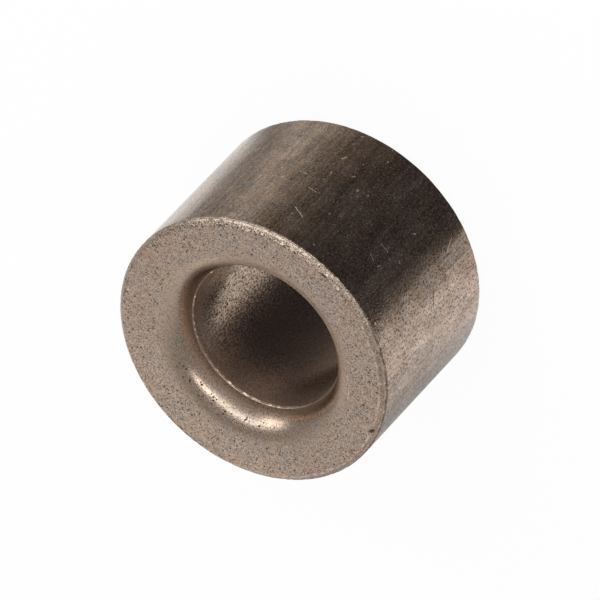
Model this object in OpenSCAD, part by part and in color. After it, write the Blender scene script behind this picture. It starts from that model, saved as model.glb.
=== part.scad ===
// Pilot bushing, pressed and sintered in bronze as one piece.
// It stands on its back end with the bore along +Z and the bell mouth on top. Millimetres.

/* [Body] */
// Outside diameter, the wall that is pressed into its seat
outer_d = 27.8; // [24:0.1:32]
// Length from the back end to the front face
length = 18.8; // [14:0.1:26]
// Chamfer on the outer edge of the front face
front_chamfer = 0.5; // [0.2:0.05:1]
// Chamfer on the outer edge of the back end
back_chamfer = 0.5; // [0.2:0.05:1.2]

/* [Bore] */
// Bore diameter, the running surface for the shaft tip
bore_d = 15.2; // [12:0.1:17]
// Chamfer where the bore leaves the back end
bore_chamfer = 0.4; // [0.2:0.05:1]

/* [Bell mouth] */
// Radius of the rounding that leads from the front face into the bore
mouth_r = 3.6; // [2.5:0.1:4.4]
// Depth of the mouth below the front face, down to the ledge
mouth_depth = 3; // [1.5:0.1:4]
// Width of the narrow ledge between the mouth and the bore
ledge_w = 0.1; // [0.06:0.02:0.4]

/* [Hidden] */
bronze = "#8f7a66";
facets = 180;

outer_r = outer_d / 2;
bore_r = bore_d / 2;
ledge_r = bore_r + ledge_w;

// Drop of the rounding below the front face: down to the ledge, or until it runs parallel to the bore
rounding_drop = min(mouth_depth, mouth_r);
// Radius at which the rounding leaves the flat of the front face
mouth_top_r = ledge_r + sqrt(rounding_drop * (2 * mouth_r - rounding_drop));

// Half section of the wall before the mouth is formed: outer edges and back bore edge broken
module wall_section() {
    polygon([
        [bore_r + bore_chamfer, 0],
        [outer_r - back_chamfer, 0],
        [outer_r, back_chamfer],
        [outer_r, length - front_chamfer],
        [outer_r - front_chamfer, length],
        [bore_r, length],
        [bore_r, bore_chamfer]
    ]);
}

// Half section of the mouth: an arc tangent to the face, with a straight throat under it in a deeper mouth
module mouth_section() {
    difference() {
        translate([0, length - rounding_drop])
            square([mouth_top_r, rounding_drop]);
        translate([mouth_top_r, length - mouth_r])
            circle(r = mouth_r, $fn = facets);
    }
    if (mouth_depth > rounding_drop)
        translate([0, length - mouth_depth])
            square([ledge_r, mouth_depth - rounding_drop]);
}

module bushing() {
    color(bronze)
        rotate_extrude($fn = facets)
            difference() {
                wall_section();
                mouth_section();
            }
}

bushing();
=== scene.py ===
import math

import bmesh
import bpy
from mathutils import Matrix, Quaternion, Vector


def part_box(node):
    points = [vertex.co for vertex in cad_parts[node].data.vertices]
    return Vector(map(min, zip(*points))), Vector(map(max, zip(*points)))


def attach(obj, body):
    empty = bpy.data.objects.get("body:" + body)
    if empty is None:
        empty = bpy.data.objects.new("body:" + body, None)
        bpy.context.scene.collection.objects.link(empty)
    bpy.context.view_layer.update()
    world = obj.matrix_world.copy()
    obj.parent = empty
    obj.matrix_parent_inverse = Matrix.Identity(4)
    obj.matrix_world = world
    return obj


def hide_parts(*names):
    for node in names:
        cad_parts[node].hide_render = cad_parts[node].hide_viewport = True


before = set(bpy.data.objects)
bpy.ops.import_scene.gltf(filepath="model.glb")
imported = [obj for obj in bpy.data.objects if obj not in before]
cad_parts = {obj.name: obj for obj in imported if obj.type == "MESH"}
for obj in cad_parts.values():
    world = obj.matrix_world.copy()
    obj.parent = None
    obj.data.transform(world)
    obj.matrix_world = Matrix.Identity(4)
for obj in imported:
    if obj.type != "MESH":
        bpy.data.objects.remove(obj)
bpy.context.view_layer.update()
mm = 0.001


# Small node helpers, the same for geometry and shader trees

def addNode(tree, kind, title, **settings):
    node = tree.nodes.new(kind)
    node.label = title
    for name, value in settings.items():
        setattr(node, name, value)
    return node


def feed(tree, socket, value):
    if isinstance(value, bpy.types.NodeSocket):
        tree.links.new(value, socket)
    else:
        socket.default_value = value


def calc(tree, operation, *values, clamp=False):
    node = addNode(tree, "ShaderNodeMath", operation.lower(), operation=operation, use_clamp=clamp)
    for socket, value in zip(node.inputs, values):
        feed(tree, socket, value)
    return node.outputs[0]


def times(tree, first, *others):
    for value in others:
        first = calc(tree, "MULTIPLY", first, value)
    return first


def lessBy(tree, share, mask):
    # one, less a share of the mask
    return calc(tree, "MULTIPLY_ADD", mask, -share, 1.0)


def addShares(tree, value, shares):
    # a value with a share of each of several others added
    for other, share in shares:
        value = calc(tree, "MULTIPLY_ADD", other, share, value)
    return value


def strongest(tree, values):
    result = values[0]
    for value in values[1:]:
        result = calc(tree, "MAXIMUM", result, value)
    return result


def point(tree, x, y, z):
    node = addNode(tree, "ShaderNodeCombineXYZ", "point")
    for socket, value in zip(node.inputs, (x, y, z)):
        feed(tree, socket, value)
    return node.outputs[0]


def vector(tree, operation, *values):
    node = addNode(tree, "ShaderNodeVectorMath", operation.lower(), operation=operation)
    for socket, value in zip(node.inputs, values):
        feed(tree, socket, value)
    return node.outputs["Value" if operation in ("LENGTH", "DISTANCE", "DOT_PRODUCT") else "Vector"]


def ramp(tree, value, fromLow, fromHigh, toLow=0.0, toHigh=1.0):
    node = addNode(tree, "ShaderNodeMapRange", "ramp", interpolation_type="SMOOTHSTEP")
    for socket, entry in zip(node.inputs, (value, fromLow, fromHigh, toLow, toHigh)):
        feed(tree, socket, entry)
    return node.outputs[0]


def blendColor(tree, amount, first, second, way="MIX"):
    node = addNode(tree, "ShaderNodeMix", "colour " + way.lower(), data_type="RGBA", blend_type=way)
    feed(tree, node.inputs[0], amount)
    feed(tree, node.inputs[6], first)
    feed(tree, node.inputs[7], second)
    return node.outputs[2]


def scaled(tree, value, factor):
    node = addNode(tree, "ShaderNodeVectorMath", "scale", operation="SCALE")
    feed(tree, node.inputs[0], value)
    feed(tree, node.inputs["Scale"], factor)
    return node.outputs[0]


def noise(tree, spot, scale, detail=2.0, output=0):
    node = addNode(tree, "ShaderNodeTexNoise", "noise")
    feed(tree, node.inputs["Vector"], spot)
    feed(tree, node.inputs["Scale"], scale)
    feed(tree, node.inputs["Detail"], detail)
    return node.outputs[output]


def drift(tree, spot, scale, detail, reach):
    # a wandering offset that makes outlines ragged
    wander = vector(tree, "SUBTRACT", noise(tree, spot, scale, detail, 1), (0.5, 0.5, 0.5))
    return scaled(tree, wander, reach)


def cells(tree, spot, scale, smallest, largest, share, grow=1.0):
    # scattered round spots, radii in millimetres, present in a share of the cells
    node = addNode(tree, "ShaderNodeTexVoronoi", "spots")
    feed(tree, node.inputs["Vector"], spot)
    feed(tree, node.inputs["Scale"], scale)
    chance = addNode(tree, "ShaderNodeSeparateXYZ", "chance")
    feed(tree, chance.inputs[0], node.outputs["Color"])
    size = calc(tree, "MULTIPLY_ADD", chance.outputs[0], (largest - smallest) * scale, smallest * scale)
    size = times(tree, size, grow)
    inside = ramp(tree, node.outputs["Distance"], size, times(tree, size, 0.45))
    return times(tree, inside, calc(tree, "LESS_THAN", chance.outputs[1], share))


def streak(tree, spot, start, end, width):
    # a thin mark between two places
    start, along = Vector(start), Vector(end) - Vector(start)
    offset = vector(tree, "SUBTRACT", spot, tuple(start))
    part = vector(tree, "DOT_PRODUCT", offset, tuple(along / along.length_squared))
    part = calc(tree, "ADD", part, 0.0, clamp=True)
    gap = vector(tree, "LENGTH", vector(tree, "SUBTRACT", offset, scaled(tree, tuple(along), part)))
    return ramp(tree, gap, width, width * 0.3)


def fromSrgb(red, green, blue):
    channels = [value / 255 for value in (red, green, blue)]
    return tuple(c / 12.92 if c <= 0.04045 else ((c + 0.055) / 1.055) ** 2.4 for c in channels) + (1.0,)


# The bushing: one pressed piece, its half section turned about Z

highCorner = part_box("bushing")[1]
bushing = {
    "Outer Radius": highCorner.x,
    "Length": highCorner.z,
    "Front Chamfer": 0.5 * mm,
    "Back Chamfer": 0.5 * mm,
    "Bore Radius": 7.6 * mm,
    "Bore Chamfer": 0.4 * mm,
    "Mouth Radius": 3.6 * mm,
    "Mouth Depth": 3.0 * mm,
    "Ledge Width": 0.1 * mm,
    "Edge Round": 0.08 * mm,      # the small break on every corner of the section
    "Row Pitch": 0.6 * mm,        # spacing of the rings along the plain walls
    "Front Pitch": 0.15 * mm,     # closer rings on the front face and its chamfer
    "Rim Wear": 0.04 * mm,        # deepest nick in the outer edges
    "Pit Depth": 0.05 * mm,       # open pores that are large enough to be shape
    "Lip Height": 0.15 * mm,      # the small burr thrown up on the front edge
    "Segments": 640,              # steps round the axis
    "Seed": 7,
}
lipPlace = Vector((10.12, -9.44, 18.36)) * mm   # where the burr sits
mouthSteps, cornerSteps = 30.0, 3.0             # steps of the mouth's rounding and of a corner's break
frontReach = 0.6 * mm                           # the closer rings go down to here below the face
edgeFade = (1.1 * mm, 0.5 * mm)                 # nicks start and are full at these distances from an edge
nickScale, nickSpan = 1.3, (0.45, 0.75)         # nicks per mm, span of the noise that is nicked
pitCells = (1.25, 0.1, 0.24, 0.5)   # pits: cells per mm, smallest and largest radius (mm), share of cells


def sectionCorners(tree, size):
    ledgeR = calc(tree, "ADD", size["Bore Radius"], size["Ledge Width"])
    outerR, length = size["Outer Radius"], size["Length"]
    mouthR, depth = size["Mouth Radius"], size["Mouth Depth"]
    # the mouth's rounding touches the face at its top and the ledge at its foot
    reach = calc(tree, "SQRT", calc(tree, "MULTIPLY", depth,
                                    calc(tree, "SUBTRACT", calc(tree, "MULTIPLY", mouthR, 2.0), depth)))
    turn = calc(tree, "ARCCOSINE", calc(tree, "SUBTRACT", 1.0, calc(tree, "DIVIDE", depth, mouthR)))
    tangent = calc(tree, "MULTIPLY", mouthR, calc(tree, "TANGENT", calc(tree, "MULTIPLY", turn, 0.5)))
    mouthX = calc(tree, "SUBTRACT", calc(tree, "ADD", ledgeR, reach), tangent)
    ledgeZ = calc(tree, "SUBTRACT", length, depth)
    return [
        point(tree, calc(tree, "ADD", size["Bore Radius"], size["Bore Chamfer"]), 0.0, 0.0),
        point(tree, calc(tree, "SUBTRACT", outerR, size["Back Chamfer"]), 0.0, 0.0),
        point(tree, outerR, 0.0, size["Back Chamfer"]),
        point(tree, outerR, 0.0, calc(tree, "SUBTRACT", length, size["Front Chamfer"])),
        point(tree, calc(tree, "SUBTRACT", outerR, size["Front Chamfer"]), 0.0, length),
        point(tree, mouthX, 0.0, length),
        point(tree, ledgeR, 0.0, ledgeZ),
        point(tree, size["Bore Radius"], 0.0, ledgeZ),
        point(tree, size["Bore Radius"], 0.0, size["Bore Chamfer"]),
    ]


def sectionCurve(tree, size):
    mouthCorner, ledgeCorner = 5, 6
    corners = sectionCorners(tree, size)
    line = addNode(tree, "GeometryNodeMeshLine", "section corners")
    line.inputs["Count"].default_value = len(corners)
    index = addNode(tree, "GeometryNodeInputIndex", "corner number").outputs[0]
    pick = addNode(tree, "GeometryNodeIndexSwitch", "corner place", data_type="VECTOR")
    while len(pick.index_switch_items) < len(corners):
        pick.index_switch_items.new()
    feed(tree, pick.inputs[0], index)
    for socket, corner in zip(list(pick.inputs)[1:], corners):
        feed(tree, socket, corner)
    place = addNode(tree, "GeometryNodeSetPosition", "lay out the corners")
    feed(tree, place.inputs["Geometry"], line.outputs[0])
    feed(tree, place.inputs["Position"], pick.outputs[0])
    curve = addNode(tree, "GeometryNodeMeshToCurve", "section line")
    feed(tree, curve.inputs[0], place.outputs[0])
    closed = addNode(tree, "GeometryNodeSetSplineCyclic", "closed section")
    feed(tree, closed.inputs["Geometry"], curve.outputs[0])
    closed.inputs["Cyclic"].default_value = True
    # small breaks on the corners, the large rounding at the mouth, none in the ledge's inner corner
    isMouth = calc(tree, "COMPARE", index, float(mouthCorner), 0.1)
    isLedge = calc(tree, "COMPARE", index, float(ledgeCorner), 0.1)
    plain = calc(tree, "SUBTRACT", 1.0, calc(tree, "ADD", isMouth, isLedge))
    radius = calc(tree, "ADD", calc(tree, "MULTIPLY", isMouth, size["Mouth Radius"]),
                  calc(tree, "MULTIPLY", plain, size["Edge Round"]))
    fillet = addNode(tree, "GeometryNodeFilletCurve", "round the corners", mode="POLY")
    feed(tree, fillet.inputs["Curve"], closed.outputs[0])
    feed(tree, fillet.inputs["Radius"], radius)
    steps = calc(tree, "MULTIPLY_ADD", isMouth, mouthSteps - cornerSteps, cornerSteps)
    feed(tree, fillet.inputs["Count"], steps)
    fillet.inputs["Limit Radius"].default_value = True
    # more rings where a stretch is long
    here = addNode(tree, "GeometryNodeInputPosition", "here").outputs[0]
    following = addNode(tree, "GeometryNodeOffsetPointInCurve", "next point")
    following.inputs["Offset"].default_value = 1
    there = addNode(tree, "GeometryNodeFieldAtIndex", "there", data_type="FLOAT_VECTOR", domain="POINT")
    feed(tree, there.inputs["Index"], following.outputs["Point Index"])
    feed(tree, there.inputs["Value"], here)
    heights = [addNode(tree, "ShaderNodeSeparateXYZ", "height") for end in range(2)]
    feed(tree, heights[0].inputs[0], here)
    feed(tree, heights[1].inputs[0], there.outputs[0])
    lower = calc(tree, "MINIMUM", heights[0].outputs[2], heights[1].outputs[2])
    onFront = calc(tree, "GREATER_THAN", lower, calc(tree, "SUBTRACT", size["Length"], frontReach))
    pitch = calc(tree, "ADD", calc(tree, "MULTIPLY", onFront, size["Front Pitch"]),
                 calc(tree, "MULTIPLY", calc(tree, "SUBTRACT", 1.0, onFront), size["Row Pitch"]))
    cuts = calc(tree, "FLOOR", calc(tree, "DIVIDE", vector(tree, "DISTANCE", here, there.outputs[0]), pitch))
    rows = addNode(tree, "GeometryNodeSubdivideCurve", "rings along the section")
    feed(tree, rows.inputs["Curve"], fillet.outputs[0])
    feed(tree, rows.inputs["Cuts"], cuts)
    return rows.outputs[0]


def turnSection(tree, curve, size):
    count = addNode(tree, "GeometryNodeAttributeDomainSize", "rings", component="CURVE")
    feed(tree, count.inputs[0], curve)
    ringCount = count.outputs["Point Count"]
    around = calc(tree, "ADD", size["Segments"], 1.0)
    grid = addNode(tree, "GeometryNodeMeshGrid", "sheet to wrap")
    feed(tree, grid.inputs["Vertices X"], calc(tree, "ADD", ringCount, 1.0))
    feed(tree, grid.inputs["Vertices Y"], around)
    index = addNode(tree, "GeometryNodeInputIndex", "vertex number").outputs[0]
    ring = calc(tree, "FLOOR", calc(tree, "DIVIDE", calc(tree, "ADD", index, 0.5), around))
    step = calc(tree, "SUBTRACT", index, calc(tree, "MULTIPLY", ring, around))
    place = addNode(tree, "GeometryNodeInputPosition", "section place").outputs[0]
    sample = addNode(tree, "GeometryNodeSampleIndex", "ring's section point",
                     data_type="FLOAT_VECTOR", domain="POINT")
    feed(tree, sample.inputs["Geometry"], curve)
    feed(tree, sample.inputs["Value"], place)
    feed(tree, sample.inputs["Index"], calc(tree, "MODULO", ring, ringCount))
    parts = addNode(tree, "ShaderNodeSeparateXYZ", "radius and height")
    feed(tree, parts.inputs[0], sample.outputs[0])
    angle = calc(tree, "MULTIPLY", calc(tree, "DIVIDE", step, size["Segments"]), math.tau)
    wrapped = point(tree, calc(tree, "MULTIPLY", parts.outputs[0], calc(tree, "COSINE", angle)),
                    calc(tree, "MULTIPLY", parts.outputs[0], calc(tree, "SINE", angle)), parts.outputs[2])
    wrap = addNode(tree, "GeometryNodeSetPosition", "wrap round the axis")
    feed(tree, wrap.inputs["Geometry"], grid.outputs["Mesh"])
    feed(tree, wrap.inputs["Position"], wrapped)
    weld = addNode(tree, "GeometryNodeMergeByDistance", "weld the seam")
    feed(tree, weld.inputs["Geometry"], wrap.outputs[0])
    weld.inputs["Distance"].default_value = 0.001 * mm
    outward = addNode(tree, "GeometryNodeFlipFaces", "faces outward")
    feed(tree, outward.inputs["Mesh"], weld.outputs[0])
    return outward.outputs[0]


def wearSurface(tree, solid, size):
    place = addNode(tree, "GeometryNodeInputPosition", "place").outputs[0]
    spot = scaled(tree, place, 1 / mm)
    shifted = vector(tree, "ADD", spot, point(tree, size["Seed"], size["Seed"], size["Seed"]))
    parts = addNode(tree, "ShaderNodeSeparateXYZ", "place in parts")
    feed(tree, parts.inputs[0], place)
    radius = vector(tree, "LENGTH", point(tree, parts.outputs[0], parts.outputs[1], 0.0))
    # how far a place is from the front and back outer edges
    toOuter = calc(tree, "SUBTRACT", size["Outer Radius"], radius)
    toFront = calc(tree, "SUBTRACT", size["Length"], parts.outputs[2])
    frontEdge = ramp(tree, calc(tree, "ADD", toOuter, toFront), *edgeFade)
    backEdge = ramp(tree, calc(tree, "ADD", toOuter, parts.outputs[2]), *edgeFade)
    rim = calc(tree, "MULTIPLY_ADD", backEdge, 0.7, frontEdge)
    nicks = ramp(tree, noise(tree, shifted, nickScale, 2.0), *nickSpan)
    nickDepth = times(tree, nicks, rim, size["Rim Wear"])
    onFront = ramp(tree, toFront, 0.5 * mm, 0.2 * mm)
    pitDepth = times(tree, cells(tree, shifted, *pitCells), onFront, size["Pit Depth"])
    # the burr stays below the face
    lip = ramp(tree, vector(tree, "DISTANCE", place, tuple(lipPlace)), 0.42 * mm, 0.1 * mm)
    lip = times(tree, lip, ramp(tree, toFront, 0.0, 0.1 * mm), size["Lip Height"])
    lift = calc(tree, "SUBTRACT", lip, calc(tree, "ADD", nickDepth, pitDepth))
    normal = addNode(tree, "GeometryNodeInputNormal", "outward").outputs[0]
    wear = addNode(tree, "GeometryNodeSetPosition", "nicks, pits and burr")
    feed(tree, wear.inputs["Geometry"], solid)
    feed(tree, wear.inputs["Offset"], scaled(tree, normal, lift))
    return wear.outputs[0]


def bushingTree(material):
    tree = bpy.data.node_groups.new("bushingTurning", "GeometryNodeTree")
    for name, value in bushing.items():
        kind = "NodeSocketInt" if isinstance(value, int) else "NodeSocketFloat"
        tree.interface.new_socket(name, in_out="INPUT", socket_type=kind)
    tree.interface.new_socket("Geometry", in_out="OUTPUT", socket_type="NodeSocketGeometry")
    size = {socket.name: socket for socket in addNode(tree, "NodeGroupInput", "sizes").outputs}
    solid = wearSurface(tree, turnSection(tree, sectionCurve(tree, size), size), size)
    smooth = addNode(tree, "GeometryNodeSetShadeSmooth", "smooth")
    feed(tree, smooth.inputs["Geometry"], solid)
    real = addNode(tree, "GeometryNodeRealizeInstances", "real mesh")
    feed(tree, real.inputs[0], smooth.outputs[0])
    coat = addNode(tree, "GeometryNodeSetMaterial", "bronze")
    feed(tree, coat.inputs["Geometry"], real.outputs[0])
    coat.inputs["Material"].default_value = material
    out = addNode(tree, "NodeGroupOutput", "out")
    feed(tree, out.inputs[0], coat.outputs[0])
    return tree


def makeBushing(material):
    tree = bushingTree(material)
    maker = bpy.data.objects.new("bushingMaker", bpy.data.meshes.new("bushingMaker"))
    bpy.context.scene.collection.objects.link(maker)
    modifier = maker.modifiers.new("turning", "NODES")
    modifier.node_group = tree
    for item in tree.interface.items_tree:
        if item.in_out == "INPUT":
            modifier[item.identifier] = bushing[item.name]
    graph = bpy.context.evaluated_depsgraph_get()
    mesh = bpy.data.meshes.new_from_object(maker.evaluated_get(graph))
    bpy.data.objects.remove(maker)
    work = bmesh.new()
    work.from_mesh(mesh)
    bmesh.ops.recalc_face_normals(work, faces=work.faces)
    work.to_mesh(mesh)
    work.free()
    mesh.name = "bushingBody"
    return bpy.data.objects.new("bushing_body", mesh)


# Sintered bronze, read in millimetres from the object's own coordinates

bronze = {
    "color": fromSrgb(168, 150, 137),
    "warm": fromSrgb(172, 151, 133),
    "cool": fromSrgb(164, 149, 138),
    "pore": fromSrgb(60, 45, 32),
    "glint": fromSrgb(228, 206, 188),
    "gold": fromSrgb(166, 144, 110),
    "rust": fromSrgb(174, 136, 118),
    "stain": fromSrgb(178, 120, 92),
    "smudge": fromSrgb(126, 100, 78),
    "brown": fromSrgb(92, 66, 48),
}
# finish of each zone: lightness, warmth, roughness, rough share between the burnished spots, depth of the
# fine relief, share of pores and their growth, contrast of the grain, bright grains
zones = {
    "face": {"level": 1.0, "warmth": 0.0, "rough": 0.55, "open": 0.2, "relief": 1.1,
             "pores": 0.9, "grow": 1.0, "grain": 0.75, "shine": 0.5},
    "mouth": {"level": 0.87, "warmth": 0.4, "rough": 0.22, "open": 0.1, "relief": 0.1,
              "pores": 0.55, "grow": 1.0, "grain": 0.5, "shine": 0.2},
    "wall": {"level": 1.12, "warmth": 0.1, "rough": 0.16, "open": 0.2, "relief": 0.3,
             "pores": 0.6, "grow": 0.85, "grain": 0.75, "shine": 0.4},
    "bore": {"level": 1.3, "warmth": 0.4, "rough": 0.16, "open": 0.12, "relief": 0.2,
             "pores": 0.8, "grow": 0.95, "grain": 0.5, "shine": 0.0},
    "rim": {"level": 0.74, "warmth": 0.3, "rough": 0.34, "open": 0.2, "relief": 0.9,
            "pores": 0.5, "grow": 1.0, "grain": 1.4, "shine": 0.9},
}
# what some stretches add to the lightness and roughness of their zone; the lightness added to the foot of the
# mouth, the throat of the bore and the far side of the face is painted light
levelSteps = {"foot": 0.55, "throat": 0.4, "farFace": 0.1, "calmRim": 0.07}
roughSteps = {"foot": 0.18, "throat": 0.24, "frontHalf": -0.09}
reliefStep = 0.03 * mm            # height of the fine relief where a zone's share is one

# marks that the photograph shows, from one place to another, with their half width (mm)
# on the wall a place is degrees from -Y towards -X and height, on the front it is degrees and radius
wallMarks = {
    "light": [
        ((-26, 13.9), (-21, 14.7), 0.06), ((-28, 10.6), (-24, 10.8), 0.05), ((-34, 8.9), (-32.5, 8.9), 0.07),
        ((-26, 5.1), (-25, 4.6), 0.08), ((-18, 6.7), (-17, 6.4), 0.05), ((-25, 7.7), (-25.5, 7.3), 0.05),
        ((-64, 5.5), (-59, 5.6), 0.04), ((-59, 17.2), (-57, 16.9), 0.05), ((26, 2.6), (28.5, 4.0), 0.05),
        ((14, 6.8), (14.5, 6.6), 0.06), ((17, 10.5), (18, 10.7), 0.04), ((12.5, 13.3), (13, 12.9), 0.04),
        ((7, 12.9), (10, 13.2), 0.03), ((7.5, 11.0), (11.5, 11.0), 0.03), ((27.3, 17.55), (27.6, 17.6), 0.17),
        ((-46, 17.9), (-44.5, 17.4), 0.05), ((-48, 18.3), (-45.5, 18.2), 0.17),
    ],
    "dark": [
        ((35.5, 8.0), (40.5, 8.6), 0.08), ((40.5, 2.5), (42, 0.9), 0.05),
        ((-24, 12.9), (-23, 12.8), 0.09), ((-36, 10.3), (-36, 10.4), 0.10),
    ],
}
frontMarks = {
    "light": [((52, 9.9), (56, 10.0), 0.06), ((60, 10.1), (67, 10.2), 0.05),
              ((-112, 13.05), (-112.5, 13.05), 0.14)],
    "dark": [((76, 13.3), (75, 13.45), 0.26), ((-1, 13.4), (1, 13.4), 0.14)],
}
# coppery stains on the front: place, size (mm) and strength
stains = [((-91, 13.1), 0.9, 0.3), ((167, 9.35), 0.28, 0.6)]
# soft patches on the outer wall: colour, where, scale, span of the noise that shows, strength, step aside
wallPatches = [
    ("smudge", "wall", 0.4, (0.38, 0.62), 0.35, (0.0, 0.0, 0.0)),
    ("gold", "plusXWall", 0.9, (0.48, 0.66), 0.35, (4.2, 1.1, 7.3)),
    ("rust", "plusXWall", 0.9, (0.48, 0.66), 0.25, (9.4, 3.3, 2.2)),
]
# round spots: cells per mm, smallest and largest radius (mm), share of cells that hold one
poreKinds = [(1.3, 0.08, 0.17, 0.5), (2.8, 0.06, 0.13, 0.95), (4.6, 0.035, 0.08, 0.95)]
wallPores = (4.4, 0.05, 0.11, 1.0)         # fine brown ones in the outer wall
borePores = (4.3, 0.06, 0.12, 1.0)         # much the same in the bore
beltPores = (2.8, 0.08, 0.17, 1.0)         # coarser ones where the burnished belt of the mouth begins
fineGlints = (5.5, 0.03, 0.06, 0.9)        # painted glints: bright grains everywhere
wallFlecks = (1.2, 0.07, 0.15, 0.6)        # painted glints: larger bright grains on the outer wall
rimFlecks = (1.9, 0.1, 0.26, 0.8)          # painted glints: larger bright grains on the front edge


def aroundAxis(degrees, radius, height):
    turn = math.radians(degrees)
    return -radius * math.sin(turn), -radius * math.cos(turn), height


def wallPlace(degrees, height):
    return aroundAxis(degrees, bushing["Outer Radius"] / mm, height)


def frontPlace(degrees, radius):
    # down the rounding of the mouth where the place lies inside the flat of the face
    mouthR, depth = bushing["Mouth Radius"] / mm, bushing["Mouth Depth"] / mm
    ledgeR = (bushing["Bore Radius"] + bushing["Ledge Width"]) / mm
    inward = max(ledgeR + math.sqrt(depth * (2 * mouthR - depth)) - radius, 0.0)
    drop = mouthR - math.sqrt(mouthR ** 2 - inward ** 2)
    return aroundAxis(degrees, radius, bushing["Length"] / mm - drop)


def markMask(tree, spot, kind):
    marks = [streak(tree, spot, wallPlace(*start), wallPlace(*end), width)
             for start, end, width in wallMarks[kind]]
    marks += [streak(tree, spot, frontPlace(*start), frontPlace(*end), width)
              for start, end, width in frontMarks[kind]]
    return strongest(tree, marks)


def readPlace(tree):
    spot = scaled(tree, addNode(tree, "ShaderNodeTexCoord", "own place").outputs["Object"], 1 / mm)
    parts = addNode(tree, "ShaderNodeSeparateXYZ", "place in parts")
    feed(tree, parts.inputs[0], spot)
    x, y, z = parts.outputs
    radius = vector(tree, "LENGTH", point(tree, x, y, 0.0))
    return {
        "spot": spot, "x": x, "y": y, "radius": radius,
        "depth": calc(tree, "SUBTRACT", bushing["Length"] / mm, z),
        "toWall": calc(tree, "SUBTRACT", bushing["Outer Radius"] / mm, radius),
    }


def zoneMasks(tree, place):
    radius, depth = place["radius"], place["depth"]
    outerR, boreR = bushing["Outer Radius"] / mm, bushing["Bore Radius"] / mm
    mouthDepth, chamfer = bushing["Mouth Depth"] / mm, bushing["Front Chamfer"] / mm
    toEdge = calc(tree, "ADD", place["toWall"], depth)
    toLedge = calc(tree, "ABSOLUTE", calc(tree, "SUBTRACT", depth, mouthDepth))
    return {
        "mouth": times(tree, ramp(tree, radius, 12.2, 11.2), ramp(tree, depth, 0.02, 0.4)),
        "wall": ramp(tree, radius, outerR - 0.1, outerR - 0.04),
        "bore": times(tree, ramp(tree, radius, boreR + 0.12, boreR + 0.04),
                      ramp(tree, depth, mouthDepth - 0.03, mouthDepth + 0.03)),
        "rim": ramp(tree, toEdge, chamfer + 0.22, chamfer + 0.1),
        "ledge": times(tree, ramp(tree, radius, boreR + 0.16, boreR + 0.1),
                       ramp(tree, toLedge, 0.08, 0.03)),
    }


def edgeMasks(tree, place, zone):
    # wear, painted highlights and painted shade along the front edge, on the sides where the photograph shows
    # them
    x, y, depth, toWall = [place[key] for key in ("x", "y", "depth", "toWall")]
    chamfer, innerCornerIn = bushing["Front Chamfer"] / mm, 0.6
    wobble = calc(tree, "MULTIPLY_ADD", noise(tree, place["spot"], 1.6, 3.0), 0.5, -0.25)
    toInnerCorner = calc(tree, "ABSOLUTE", calc(tree, "SUBTRACT", calc(tree, "ADD", toWall, wobble), innerCornerIn))
    toOuterCorner = calc(tree, "ABSOLUTE", calc(tree, "SUBTRACT", calc(tree, "ADD", depth, wobble), chamfer))
    return {
        "edge": times(tree, zone["rim"], ramp(tree, toWall, 0.3, 0.16)),
        "thinEdge": times(tree, zone["rim"], ramp(tree, toWall, 0.18, 0.06)),
        # a painted highlight along the chamfer's inner corner, and painted shade along its outer corner in
        # the seam mask, each on one side of the bushing
        "innerCornerLight": times(tree, ramp(tree, toInnerCorner, 0.16, 0.05), ramp(tree, depth, 0.3, 0.15),
                       ramp(tree, x, -4.0, -7.0)),
        "seam": times(tree, ramp(tree, toOuterCorner, 0.16, 0.05), ramp(tree, toWall, 0.22, 0.08),
                      ramp(tree, x, -5.5, -8.0)),
        # the side of the rim that gets a painted highlight and more grain contrast
        "litRimSide": times(tree, ramp(tree, x, 0.5, 4.5), ramp(tree, y, -4.5, -8.0)),
        "calmRim": times(tree, zone["rim"], ramp(tree, x, -2.0, -6.0)),
        "edgeLineSide": times(tree, ramp(tree, x, -7.5, -4.5), ramp(tree, y, -8.0, -11.0)),
        "fleckSide": times(tree, zone["rim"], ramp(tree, x, 10.5, 7.0)),
    }


def sideMasks(tree, place, zone):
    # stretches of a zone that are lighter, duller or smoother than the rest of it
    x, y, depth = place["x"], place["y"], place["depth"]
    mouthDepth = bushing["Mouth Depth"] / mm
    onlyMouth = calc(tree, "SUBTRACT", zone["mouth"], zone["bore"])
    nearSide = times(tree, ramp(tree, y, -0.5, -5.5), ramp(tree, depth, 0.2, 0.7))
    farSide = times(tree, ramp(tree, y, 4.5, 7.0), ramp(tree, x, 5.5, 3.0))
    throatEnd = ramp(tree, x, 4.5, 1.5, mouthDepth + 4.0, mouthDepth + 8.0)
    offFace = calc(tree, "MAXIMUM", zone["mouth"], zone["wall"])
    return {
        "ledgeHighlightSide": ramp(tree, x, -8.5, -3.5),
        # the foot, the throat and the far face are lightened in the tone as painted light
        "foot": times(tree, onlyMouth, calc(tree, "MAXIMUM", ramp(tree, depth, 1.3, 2.8), nearSide)),
        "belt": times(tree, onlyMouth, farSide, ramp(tree, depth, 0.4, 0.6), ramp(tree, depth, 1.6, 1.1)),
        "throat": times(tree, zone["bore"], ramp(tree, depth, throatEnd, mouthDepth)),
        "openBore": ramp(tree, depth, mouthDepth + 1.0, mouthDepth + 3.5),
        "smoothSide": calc(tree, "MAXIMUM", times(tree, zone["wall"], ramp(tree, x, -5.0, 5.0, 0.0, 0.75)),
                           times(tree, zone["bore"], ramp(tree, x, 4.0, 0.5, 0.0, 0.95))),
        "farFace": times(tree, lessBy(tree, 1.0, offFace), ramp(tree, y, 5.0, 10.5)),
        # the +X half of the outer wall, which gets painted glints as bright flecks and the gold and rust
        # patches
        "plusXWall": times(tree, zone["wall"], ramp(tree, x, -3.0, 3.0)),
        "frontHalf": times(tree, zone["wall"], ramp(tree, depth, 14.0, 1.0)),
    }


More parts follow.
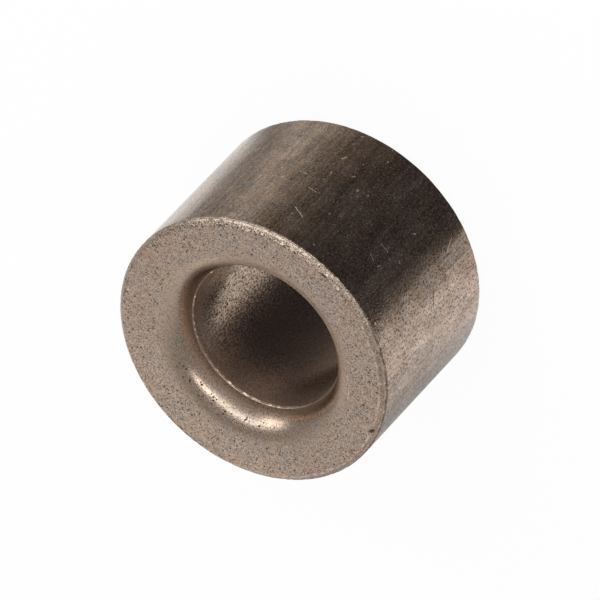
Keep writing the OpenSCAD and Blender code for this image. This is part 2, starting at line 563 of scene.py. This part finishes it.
def byZone(tree, masks, key):
    value = zones["face"][key]
    for name in ("mouth", "wall", "bore", "rim"):
        step = calc(tree, "SUBTRACT", zones[name][key], value)
        value = calc(tree, "MULTIPLY_ADD", masks[name], step, value)
    return value


def poreTexture(tree, ragged, masks):
    grow = byZone(tree, masks, "grow")
    pores = strongest(tree, [cells(tree, ragged, *kind, grow) for kind in poreKinds])
    pores = times(tree, pores, byZone(tree, masks, "pores"), lessBy(tree, 0.5, masks["calmRim"]))
    belt = times(tree, cells(tree, vector(tree, "ADD", ragged, (7.7, 2.6, 4.1)), *beltPores), masks["belt"])
    apart = vector(tree, "ADD", ragged, (3.1, 8.4, 1.7))
    small = calc(tree, "ADD", times(tree, cells(tree, apart, *wallPores), masks["wall"]),
                 times(tree, cells(tree, apart, *borePores), masks["bore"]))
    # burnishing has closed most pores on the smooth sides and in the first stretch of the bore
    closed = times(tree, masks["bore"], lessBy(tree, 1.0, masks["openBore"]))
    leftOpen = times(tree, lessBy(tree, 1.0, masks["smoothSide"]), lessBy(tree, 0.85, closed))
    return {"pores": times(tree, pores, leftOpen), "small": times(tree, small, leftOpen),
            "belt": belt, "leftOpen": leftOpen}


def bronzeTexture(tree, spot, masks):
    # grains are pulled a little along the axis where the walls were sized
    stretch = lessBy(tree, 0.45, calc(tree, "ADD", masks["wall"], masks["bore"]))
    drawn = vector(tree, "MULTIPLY", spot, point(tree, 1.0, 1.0, stretch))
    ragged = vector(tree, "ADD", drawn, drift(tree, drawn, 4.0, 1.0, 0.22))
    texture = poreTexture(tree, ragged, masks)
    glints = times(tree, cells(tree, vector(tree, "ADD", drawn, (5.3, 2.1, 9.7)), *fineGlints),
                   byZone(tree, masks, "shine"))
    bright = times(tree, cells(tree, vector(tree, "ADD", ragged, (1.9, 6.2, 3.8)), *wallFlecks),
                   masks["plusXWall"], 0.7)
    grain = ramp(tree, noise(tree, drawn, 7.0, 2.0), 0.28, 0.72)
    contrast = addShares(tree, byZone(tree, masks, "grain"), [
        (masks["calmRim"], -0.6),
        (times(tree, masks["bore"], texture["leftOpen"]), 0.9),
        (times(tree, masks["rim"], masks["litRimSide"]), 0.7),
    ])
    # fine lines and broad bands that sizing left along the outer wall
    lines = noise(tree, vector(tree, "MULTIPLY", spot, (3.2, 3.2, 0.14)), 1.0, 3.0)
    long = vector(tree, "MULTIPLY", spot, (0.8, 0.8, 0.1))
    bands = noise(tree, vector(tree, "ADD", long, drift(tree, spot, 0.3, 2.0, 1.3)), 1.0, 3.0)
    texture.update({
        "drawn": drawn,
        "ragged": ragged,
        "glints": calc(tree, "MAXIMUM", glints, bright),
        "grain": grain,
        "swing": times(tree, calc(tree, "SUBTRACT", grain, 0.5), contrast),
        "lines": times(tree, calc(tree, "SUBTRACT", lines, 0.5), masks["wall"]),
        "bands": times(tree, calc(tree, "SUBTRACT", bands, 0.5), masks["wall"]),
        "scratch": markMask(tree, spot, "light"),
        "pit": markMask(tree, spot, "dark"),
    })
    return texture


def plainTone(tree, spot, masks, texture):
    mottle = ramp(tree, noise(tree, spot, 0.5, 2.0), 0.42, 0.62)
    tone = blendColor(tree, 0.5, bronze["color"], blendColor(tree, mottle, bronze["warm"], bronze["cool"]))
    # the ledge is darkened towards the pore colour, with painted highlights as beads on one side
    ledgeHighlights = times(tree, ramp(tree, noise(tree, spot, 2.4, 3.0), 0.5, 0.74), masks["ledgeHighlightSide"])
    tone = blendColor(tree, times(tree, masks["ledge"], 0.75), tone,
                      blendColor(tree, ledgeHighlights, bronze["pore"], bronze["glint"]))
    for color, where, scale, span, strength, aside in wallPatches:
        patches = ramp(tree, noise(tree, vector(tree, "ADD", spot, aside), scale, 4.0), *span)
        tone = blendColor(tree, times(tree, patches, masks[where], strength), tone, bronze[color])
    level = addShares(tree, calc(tree, "ADD", texture["swing"], 1.0),
                      [(texture["lines"], 1.1), (texture["bands"], 1.1)])
    # the lightness steps paint light into the foot of the mouth, the throat of the bore and the far side of
    # the face
    zoneLevel = addShares(tree, byZone(tree, masks, "level"),
                          [(masks[name], step) for name, step in levelSteps.items()])
    # warmer means a little more red and less blue
    warmth = addShares(tree, byZone(tree, masks, "warmth"), [(masks["throat"], -0.7)])
    tint = point(tree, calc(tree, "MULTIPLY_ADD", warmth, 0.04, 1.0), 1.0, lessBy(tree, 0.1, warmth))
    return blendColor(tree, 1.0, tone, scaled(tree, tint, times(tree, level, zoneLevel)), "MULTIPLY")


def wornAndLitEdge(tree, spot, masks):
    # bare metal worn on the front edge, with a painted highlight added on its lit side, and a painted
    # highlight as a thin beaded line on the camera's side
    wornAndLit = times(tree, masks["edge"], ramp(tree, noise(tree, spot, 1.1, 3.0), 0.3, 0.5),
                 calc(tree, "MULTIPLY_ADD", masks["litRimSide"], 0.4, 0.2))
    edgeLineHighlight = times(tree, ramp(tree, noise(tree, spot, 2.6, 2.0), 0.42, 0.58), masks["thinEdge"],
                   masks["edgeLineSide"], 0.75)
    return calc(tree, "MAXIMUM", wornAndLit, edgeLineHighlight)


def bronzeTone(tree, spot, masks, texture):
    tone = plainTone(tree, spot, masks, texture)
    # a painted highlight on the chamfer's inner corner and painted shade on its outer corner
    innerCornerHighlight = times(tree, masks["innerCornerLight"], ramp(tree, noise(tree, spot, 1.7, 3.0), 0.38, 0.6))
    outerCornerShade = times(tree, masks["seam"], ramp(tree, noise(tree, spot, 1.2, 3.0), 0.36, 0.52))
    # bright flecks on the front edge, painted glints
    flecks = times(tree, cells(tree, texture["ragged"], *rimFlecks), masks["fleckSide"],
                   lessBy(tree, 0.5, masks["calmRim"]))
    # what lies on the plain bronze, from the lowest up: where, how fully it covers, colour
    layers = [
        (wornAndLitEdge(tree, spot, masks), 1.0, "glint"),
        (innerCornerHighlight, 0.4, "glint"),
        (outerCornerShade, 0.75, "brown"),
        (flecks, 0.72, "glint"),
        (texture["glints"], 0.75, "glint"),
        (texture["small"], 0.9, "brown"),
        (texture["pores"], 0.8, "pore"),
        (texture["belt"], 0.95, "pore"),
        (texture["scratch"], 0.8, "glint"),
        (texture["pit"], 0.9, "pore"),
    ]
    for place, size, strength in stains:
        toStain = vector(tree, "DISTANCE", spot, frontPlace(*place))
        layers.append((ramp(tree, toStain, size, size * 0.1), strength, "stain"))
    for mask, amount, color in layers:
        tone = blendColor(tree, times(tree, mask, amount), tone, bronze[color])
    return tone


def bronzeRoughness(tree, masks, texture):
    rough = addShares(tree, byZone(tree, masks, "rough"), [(texture["swing"], 0.12), (texture["bands"], 0.2)])
    rough = addShares(tree, rough, [(masks[name], step) for name, step in roughSteps.items()])
    # duller between the burnished spots, and dullest in pores and marks
    unburnished = 0.8
    between = times(tree, ramp(tree, noise(tree, texture["drawn"], 9.0, 1.0), 0.46, 0.6),
                    byZone(tree, masks, "open"))
    rough = calc(tree, "MULTIPLY_ADD", between, calc(tree, "SUBTRACT", unburnished, rough), rough)
    dull = [texture[name] for name in ("pores", "belt", "glints", "scratch", "pit")]
    dull.append(times(tree, texture["small"], 0.5))
    return calc(tree, "MULTIPLY_ADD", strongest(tree, dull), 0.3, rough, clamp=True)


def bronzeRelief(tree, spot, masks, texture):
    sunk = strongest(tree, [texture[name] for name in ("pores", "belt", "small")])
    chips = times(tree, noise(tree, spot, 2.4, 3.0), masks["rim"])
    height = addShares(tree, calc(tree, "SUBTRACT", times(tree, texture["grain"], 0.8), sunk), [
        (texture["lines"], 0.9), (texture["bands"], 1.8), (chips, 2.5), (texture["glints"], 0.5),
    ])
    bump = addNode(tree, "ShaderNodeBump", "fine relief")
    feed(tree, bump.inputs["Height"], height)
    feed(tree, bump.inputs["Distance"], times(tree, byZone(tree, masks, "relief"), reliefStep))
    return bump.outputs[0]


def bronzeMaterial():
    material = bpy.data.materials.new("sinteredBronze")
    material.use_nodes = True
    tree = material.node_tree
    shader = tree.nodes["Principled BSDF"]
    place = readPlace(tree)
    zone = zoneMasks(tree, place)
    masks = {**zone, **edgeMasks(tree, place, zone), **sideMasks(tree, place, zone)}
    spot = place["spot"]
    texture = bronzeTexture(tree, spot, masks)
    feed(tree, shader.inputs["Base Color"], bronzeTone(tree, spot, masks, texture))
    feed(tree, shader.inputs["Roughness"], bronzeRoughness(tree, masks, texture))
    bare = lessBy(tree, 0.35, strongest(tree, [texture["glints"], texture["scratch"]]))
    feed(tree, shader.inputs["Metallic"], bare)
    feed(tree, shader.inputs["Normal"], bronzeRelief(tree, spot, masks, texture))
    return material


body = makeBushing(bronzeMaterial())
bpy.context.scene.collection.objects.link(body)
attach(body, "root")
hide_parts("bushing")
body.data.calc_loop_triangles()
print("bushing turned:", len(body.data.vertices), "points,", len(body.data.loop_triangles), "triangles")


# Stage: pale floor, cards that only the metal sees, soft lamps

stageSet = {
    "floorSize": 30.0,
    "floorColor": (0.9, 0.9, 0.9, 1.0),
    "floorWhite": 0.94,           # share of plain white that the floor shows
    "boreFloor": 0.0085,          # the patch of floor under the bore, which the metal looks through
    "glowFrom": (-0.30, 0.85, 0.42),    # the brightest part of the room
    "glowLevels": (0.5, 1.06),    # across from it and towards it
    "horizonLevel": 0.85,         # share left at the horizon
    "skyline": (0.03, 0.06),      # the white of the floor goes on to here above the horizon
}
middle = Vector((0, 0, bushing["Length"] / 2))      # lamps and camera look here


def seenWhite(tree):
    path = addNode(tree, "ShaderNodeLightPath", "who looks")
    seen = calc(tree, "MAXIMUM", path.outputs["Is Camera Ray"], path.outputs["Is Glossy Ray"])
    return calc(tree, "MAXIMUM", seen, path.outputs["Is Transmission Ray"])


def floorMaterial():
    material = bpy.data.materials.new("paleFloor")
    material.use_nodes = True
    tree = material.node_tree
    tree.nodes.remove(tree.nodes["Principled BSDF"])
    plain = addNode(tree, "ShaderNodeBsdfDiffuse", "paper")
    plain.inputs["Color"].default_value = stageSet["floorColor"]
    white = addNode(tree, "ShaderNodeEmission", "white")
    mix = addNode(tree, "ShaderNodeMixShader", "white with a faint shadow")
    feed(tree, mix.inputs[0], times(tree, seenWhite(tree), stageSet["floorWhite"]))
    feed(tree, mix.inputs[1], plain.outputs[0])
    feed(tree, mix.inputs[2], white.outputs[0])
    feed(tree, tree.nodes["Material Output"].inputs["Surface"], mix.outputs[0])
    return material


def flatRing(innerR, outerR, height):
    steps, pinhole = 96, 0.00001
    turn = [(math.cos(math.tau * i / steps), math.sin(math.tau * i / steps)) for i in range(steps)]
    places = [(x * r, y * r, height) for r in (max(innerR, pinhole), outerR) for x, y in turn]
    sides = [(i, steps + i, steps + (i + 1) % steps, (i + 1) % steps) for i in range(steps)]
    return places, sides


def stageRing(name, innerR, outerR, height, material):
    mesh = bpy.data.meshes.new(name)
    places, sides = flatRing(innerR, outerR, height)
    mesh.from_pydata(places, [], sides)
    mesh.materials.append(material)
    ring = bpy.data.objects.new(name, mesh)
    bpy.context.scene.collection.objects.link(ring)
    return ring


def makeFloor():
    material = floorMaterial()
    stageRing("floor", stageSet["boreFloor"], stageSet["floorSize"] / 2, 0.0, material)
    patch = stageRing("boreFloor", 0.0, stageSet["boreFloor"], 0.0, material)
    patch.visible_glossy = False


def makeWorld():
    world = bpy.data.worlds.new("studio")
    bpy.context.scene.world = world
    world.use_nodes = True
    tree = world.node_tree
    way = addNode(tree, "ShaderNodeTexCoord", "direction").outputs["Generated"]
    toGlow = vector(tree, "DOT_PRODUCT", way, stageSet["glowFrom"])
    room = ramp(tree, toGlow, 0.0, 1.0, *stageSet["glowLevels"])
    parts = addNode(tree, "ShaderNodeSeparateXYZ", "height")
    feed(tree, parts.inputs[0], way)
    room = times(tree, room, ramp(tree, parts.outputs[2], 0.0, 0.3, stageSet["horizonLevel"], 1.0))
    low, high = stageSet["skyline"]
    backdrop = times(tree, seenWhite(tree), ramp(tree, parts.outputs[2], high, low))
    feed(tree, tree.nodes["Background"].inputs["Strength"], calc(tree, "MAXIMUM", room, backdrop))
    tree.nodes["Background"].inputs["Color"].default_value = (1.0, 1.0, 1.0, 1.0)


# Cards that the outer wall mirrors round its foot, and the bore below it. Radii, height and the centre of
# the fan are in metres. Tones go by direction, in degrees from the camera's side towards -X. The dim tones
# have a tint, and those near the middle tone lose some red, green and blue.
middleTone, dimTone = 0.25, 0.2
cards = {
    "footCard": {
        "radii": (0.0139, 0.3), "height": 0.0001, "fanY": -0.0084, "dimTint": (1.0, 0.97, 1.1),
        "middle": (0.0, 0.07, 0.16), "middleSpan": 0.2,
        "tones": {-150: 0.45, -117: 0.45, -104: 0.37, -96: 0.47, -88: 0.62, -75: 0.46, -66: 0.31,
                  -58: 0.2, -42: 0.13, -22: 0.085, 0: 0.074, 24: 0.072, 42: 0.085, 55: 0.115, 58: 0.3,
                  61: 0.62, 75: 0.76, 90: 1.06, 104: 0.92, 117: 0.6, 130: 0.45, 170: 0.6},
        # a brighter stretch past a line, which the wall mirrors at its far left
        "brightLine": ((0.0127, -0.00565, 0.0), (-0.669, 0.743, 0.0)), "brightTone": 1.0,
        "brightFade": (-0.0002, 0.0026), "brightFromX": (0.004, 0.01),
    },
    "boreCard": {
        "radii": (0.0, 0.6), "height": -0.2, "fanY": 0.0, "dimTint": (1.0, 0.93, 1.07),
        "middle": (0.0, 0.15, 0.27), "middleSpan": 0.3,
        "tones": {-170: 0.21, -140: 0.25, -120: 0.2, -90: 0.12, -75: 0.085, -60: 0.062, -30: 0.042,
                  0: 0.034, 30: 0.042, 46: 0.08, 54: 0.15, 60: 0.38, 67: 0.6, 80: 0.68, 90: 0.74,
                  104: 0.78, 113: 0.6, 124: 0.36, 140: 0.165, 160: 0.125},
    },
}


def cardColor(card, tone):
    # brown along the borders between light and dark, tinted where it is dim
    brown = max(1 - abs(tone - middleTone) / card["middleSpan"], 0.0)
    dim = max(1 - tone / dimTone, 0.0)
    shades = [1 + (tint - 1) * dim - drop * brown
              for tint, drop in zip(card["dimTint"], card["middle"])]
    return tuple(tone * shade for shade in shades) + (1.0,)


def makeCard(name, card):
    material = bpy.data.materials.new(name)
    material.use_nodes = True
    tree = material.node_tree
    tree.nodes.remove(tree.nodes["Principled BSDF"])
    spot = addNode(tree, "ShaderNodeTexCoord", "own place").outputs["Object"]
    fan = addNode(tree, "ShaderNodeTexGradient", "fan", gradient_type="RADIAL")
    feed(tree, fan.inputs[0], vector(tree, "SUBTRACT", spot, (0.0, card["fanY"], 0.0)))
    tones = addNode(tree, "ShaderNodeValToRGB", "tones")
    feed(tree, tones.inputs[0], fan.outputs["Fac"])
    stops = tones.color_ramp.elements
    seam = cardColor(card, card["tones"][90])           # the fan starts and ends at -X
    stops[0].position, stops[0].color = 0.0, seam
    stops[1].position, stops[1].color = 1.0, seam
    for degrees, tone in card["tones"].items():
        if degrees != 90:
            stops.new((0.25 - degrees / 360) % 1.0).color = cardColor(card, tone)
    glow = addNode(tree, "ShaderNodeEmission", "glow")
    color = tones.outputs["Color"]
    if "brightLine" in card:
        start, across = card["brightLine"]
        past = vector(tree, "DOT_PRODUCT", vector(tree, "SUBTRACT", spot, start), across)
        side = addNode(tree, "ShaderNodeSeparateXYZ", "which side")
        feed(tree, side.inputs[0], spot)
        bright = times(tree, ramp(tree, past, *card["brightFade"]),
                       ramp(tree, side.outputs[0], *card["brightFromX"]))
        color = blendColor(tree, bright, color, (card["brightTone"],) * 3 + (1.0,))
    feed(tree, glow.inputs["Color"], color)
    feed(tree, tree.nodes["Material Output"].inputs["Surface"], glow.outputs[0])
    sheet = stageRing(name, *card["radii"], card["height"], material)
    sheet.visible_camera = False
    sheet.visible_diffuse = False
    sheet.visible_shadow = False


makeFloor()
makeWorld()
for name, card in cards.items():
    makeCard(name, card)
print("floor, world and cards set")

# Lamps: direction and distance from the bushing's middle, size, power, share of the width that fades out at
# each end, share of the light that is left at the lower edge

lamps = {
    "keyLamp": {"from": (0.53, -0.63, 0.56), "distance": 0.6, "size": (1.15, 0.27), "power": 3.8,
                "fade": 0.42, "low": 0.1, "color": (0.91, 0.98, 1.0)},
    "sideLamp": {"from": (0.91, -0.23, 0.34), "distance": 0.6, "size": (0.34, 0.22), "power": 0.8,
                 "fade": 0.3, "low": 1.0, "color": (1.0, 1.0, 1.0)},
    "fillLamp": {"from": (-0.14, -0.78, 0.66), "distance": 0.6, "size": (0.42, 0.1), "power": 0.7,
                 "fade": 0.3, "low": 1.0, "color": (1.0, 1.0, 1.0)},
}


def softenLamp(data, lamp):
    # the light falls off towards both ends of the width and towards the lower edge
    data.use_nodes = True
    tree = data.node_tree
    place = addNode(tree, "ShaderNodeNewGeometry", "place on the lamp").outputs["Parametric"]
    across = addNode(tree, "ShaderNodeSeparateXYZ", "across the lamp")
    feed(tree, across.inputs[0], place)
    fromMiddle = calc(tree, "ABSOLUTE", calc(tree, "SUBTRACT", across.outputs[0], 0.5))
    ends = ramp(tree, fromMiddle, 0.5, 0.5 - lamp["fade"])
    upper = ramp(tree, across.outputs[1], 0.0, 0.9, lamp["low"], 1.0)
    feed(tree, tree.nodes["Emission"].inputs["Strength"], times(tree, ends, upper))


def makeLamps():
    for name, lamp in lamps.items():
        data = bpy.data.lights.new(name, "AREA")
        data.shape = "RECTANGLE"
        data.size, data.size_y = lamp["size"]
        data.energy, data.color = lamp["power"], lamp["color"]
        softenLamp(data, lamp)
        stand = bpy.data.objects.new(name, data)
        away = Vector(lamp["from"]).normalized()
        stand.location = middle + away * lamp["distance"]
        stand.rotation_euler = (-away).to_track_quat("-Z", "Y").to_euler()
        bpy.context.scene.collection.objects.link(stand)
    print("lamps set:", ", ".join(lamps))


makeLamps()

# Camera at the photograph's angle: long lens, rolled so that the mouth looks to the lower left

shot = {
    "distance": 1.0648,           # from the bushing's middle, in metres
    "elevation": 45.81,           # degrees above the floor
    "roll": -136.5,
    "lens": 697.06,
    "reach": (0.05, 20.0),        # nearest and farthest that it sees
}


def makeCamera():
    data = bpy.data.cameras.new("shot")
    data.lens = shot["lens"]
    data.clip_start, data.clip_end = shot["reach"]
    camera = bpy.data.objects.new("shot", data)
    rise = math.radians(shot["elevation"])
    back = Vector((0, -math.cos(rise), math.sin(rise)))
    camera.location = middle + back * shot["distance"]
    camera.rotation_mode = "QUATERNION"
    roll = Quaternion((0, 0, 1), math.radians(shot["roll"]))
    camera.rotation_quaternion = (-back).to_track_quat("-Z", "Y") @ roll
    bpy.context.scene.collection.objects.link(camera)
    bpy.context.scene.camera = camera


makeCamera()
bpy.context.scene.view_settings.view_transform = "Standard"
